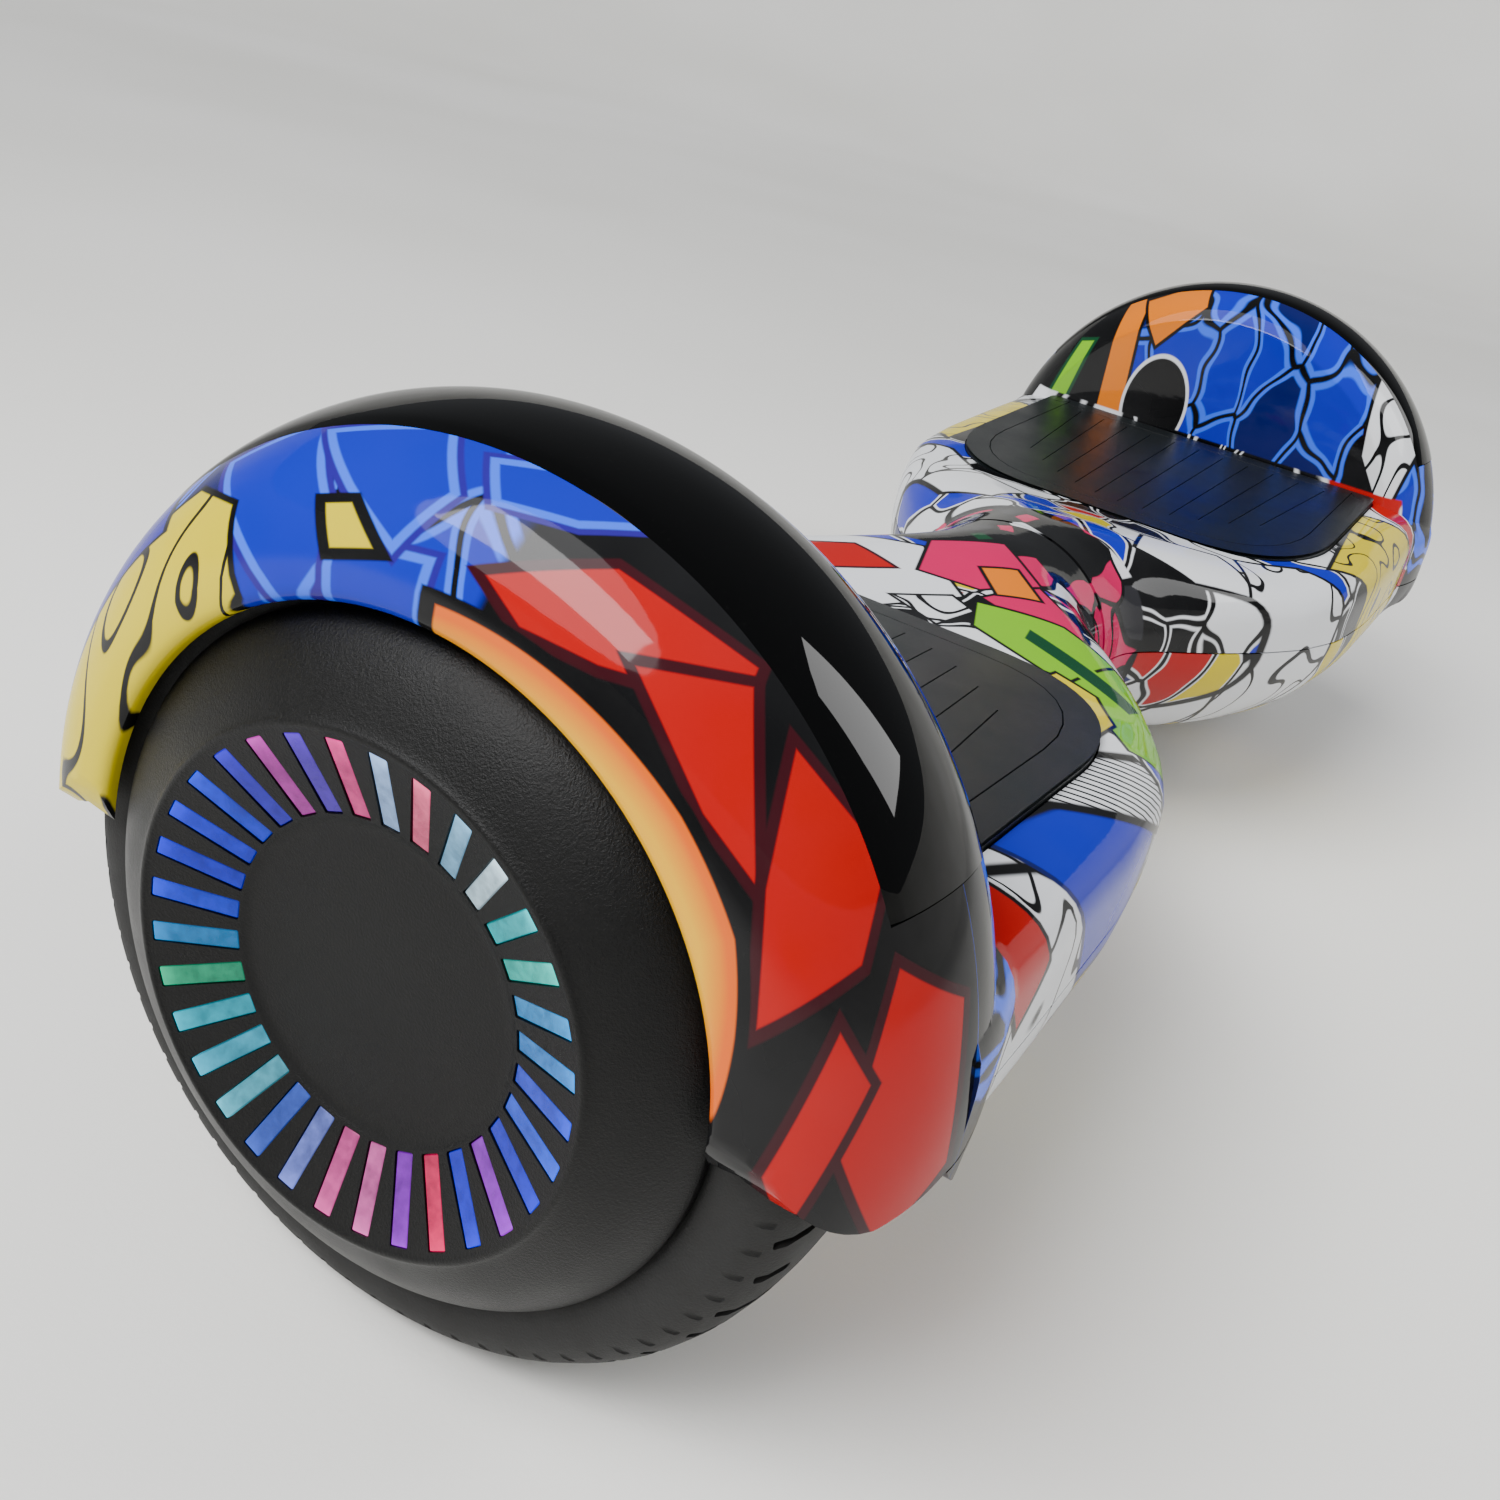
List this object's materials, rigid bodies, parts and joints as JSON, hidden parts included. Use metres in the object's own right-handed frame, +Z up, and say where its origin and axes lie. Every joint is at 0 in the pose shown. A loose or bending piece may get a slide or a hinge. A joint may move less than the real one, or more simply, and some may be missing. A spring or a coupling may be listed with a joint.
{
  "type": "self balancing hoverboard",
  "caption": "Two-wheel self-balancing board: twin arched shells with grooved foot pads that twist about a central tube, hub-motor wheels with a lit radial window ring.",
  "frame": {"origin": "on the ground midway between the two wheels, below the line of the axles", "axes": "+X along the axle line to the rider's left wheel, +Y to the rear, +Z up"},
  "size_m": [0.5808, 0.191, 0.178],
  "materials": {
    "graphic_shell": "high-gloss clear coat over a many-coloured printed film",
    "gloss_black": "high gloss",
    "grained_black": "fine moulded grain",
    "pad_rubber": "matt rubber with moulded grooves",
    "tyre": "matt tread rubber",
    "lens": "clear light guide, lit from behind",
    "aluminium": "satin cast",
    "steel": "turned",
    "windings": "laminated core under enamelled copper",
    "circuit": "soldermask green",
    "nylon": "natural",
    "battery_wrap": "heat-shrink film",
    "wire": "sleeved bundle"
  },
  "bodies": {
    "left_half": {"left_top_shell": "graphic_shell", "left_bottom_shell": "graphic_shell", "left_fender_strip": "gloss_black", "left_front_light": "lens", "left_chassis": "aluminium", "left_axle_clamp": "aluminium", "left_clamp_screw_front": "steel", "left_clamp_screw_rear": "steel", "left_axle": "steel", "left_stator": "windings", "left_gyro_board": "circuit", "left_pivot_pin": "steel", "battery_pack": "battery_wrap", "pivot_tube": "steel", "wire_harness": "wire", "right_pivot_pin": "steel"},
    "right_half": {"right_top_shell": "graphic_shell", "right_bottom_shell": "graphic_shell", "right_fender_strip": "gloss_black", "right_front_light": "lens", "right_chassis": "aluminium", "right_axle_clamp": "aluminium", "right_clamp_screw_front": "steel", "right_clamp_screw_rear": "steel", "right_axle": "steel", "right_stator": "windings", "right_gyro_board": "circuit", "pivot_bush_inner": "nylon", "pivot_bush_outer": "nylon", "retaining_ring": "steel", "main_board": "circuit", "heat_sink": "aluminium", "charge_port": "gloss_black"},
    "left_wheel": {"left_tyre": "tyre", "left_rim": "aluminium", "left_motor_outer_cover": "aluminium", "left_motor_inner_cover": "aluminium", "left_outer_bearing": "steel", "left_inner_bearing": "steel", "left_magnet_ring": "steel", "left_hub_cap": "grained_black", "left_light_lens": "lens", "left_led_board": "circuit"},
    "right_wheel": {"right_tyre": "tyre", "right_rim": "aluminium", "right_motor_outer_cover": "aluminium", "right_motor_inner_cover": "aluminium", "right_outer_bearing": "steel", "right_inner_bearing": "steel", "right_magnet_ring": "steel", "right_hub_cap": "grained_black", "right_light_lens": "lens", "right_led_board": "circuit"},
    "left_pad": {"left_foot_pad": "pad_rubber"},
    "right_pad": {"right_foot_pad": "pad_rubber"},
    "charge_cover": {"charge_cap": "pad_rubber"},
    "power_button": {"power_button": "gloss_black"}
  },
  "joints": [
    {"name": "twist", "type": "hinge", "parent": "left_half", "child": "right_half", "pos_m": [0, 0, 0.0825], "axis": [1, 0, 0], "range_deg": [-12, 12]},
    {"name": "left_wheel_spin", "type": "hinge", "parent": "left_half", "child": "left_wheel", "pos_m": [0.2535, 0, 0.0825], "axis": [1, 0, 0], "continuous": true},
    {"name": "right_wheel_spin", "type": "hinge", "parent": "right_half", "child": "right_wheel", "pos_m": [-0.2535, 0, 0.0825], "axis": [1, 0, 0], "continuous": true},
    {"name": "left_pad_press", "type": "slide", "parent": "left_half", "child": "left_pad", "axis": [0, 0, -1], "range_m": [0, 0.0015], "stiffness_N_per_m": 6000, "springref_m": -0.0006},
    {"name": "right_pad_press", "type": "slide", "parent": "right_half", "child": "right_pad", "axis": [0, 0, -1], "range_m": [0, 0.0015], "stiffness_N_per_m": 6000, "springref_m": -0.0006},
    {"name": "power_button_press", "type": "slide", "parent": "right_half", "child": "power_button", "axis": [0, 0, 1], "range_m": [0, 0.0015], "stiffness_N_per_m": 600, "springref_m": -0.0005},
    {"name": "charge_cover_hinge", "type": "hinge", "parent": "right_half", "child": "charge_cover", "pos_m": [-0.136, 0, 0.0232], "axis": [0, 1, 0], "range_deg": [0, 75]}
  ]
}
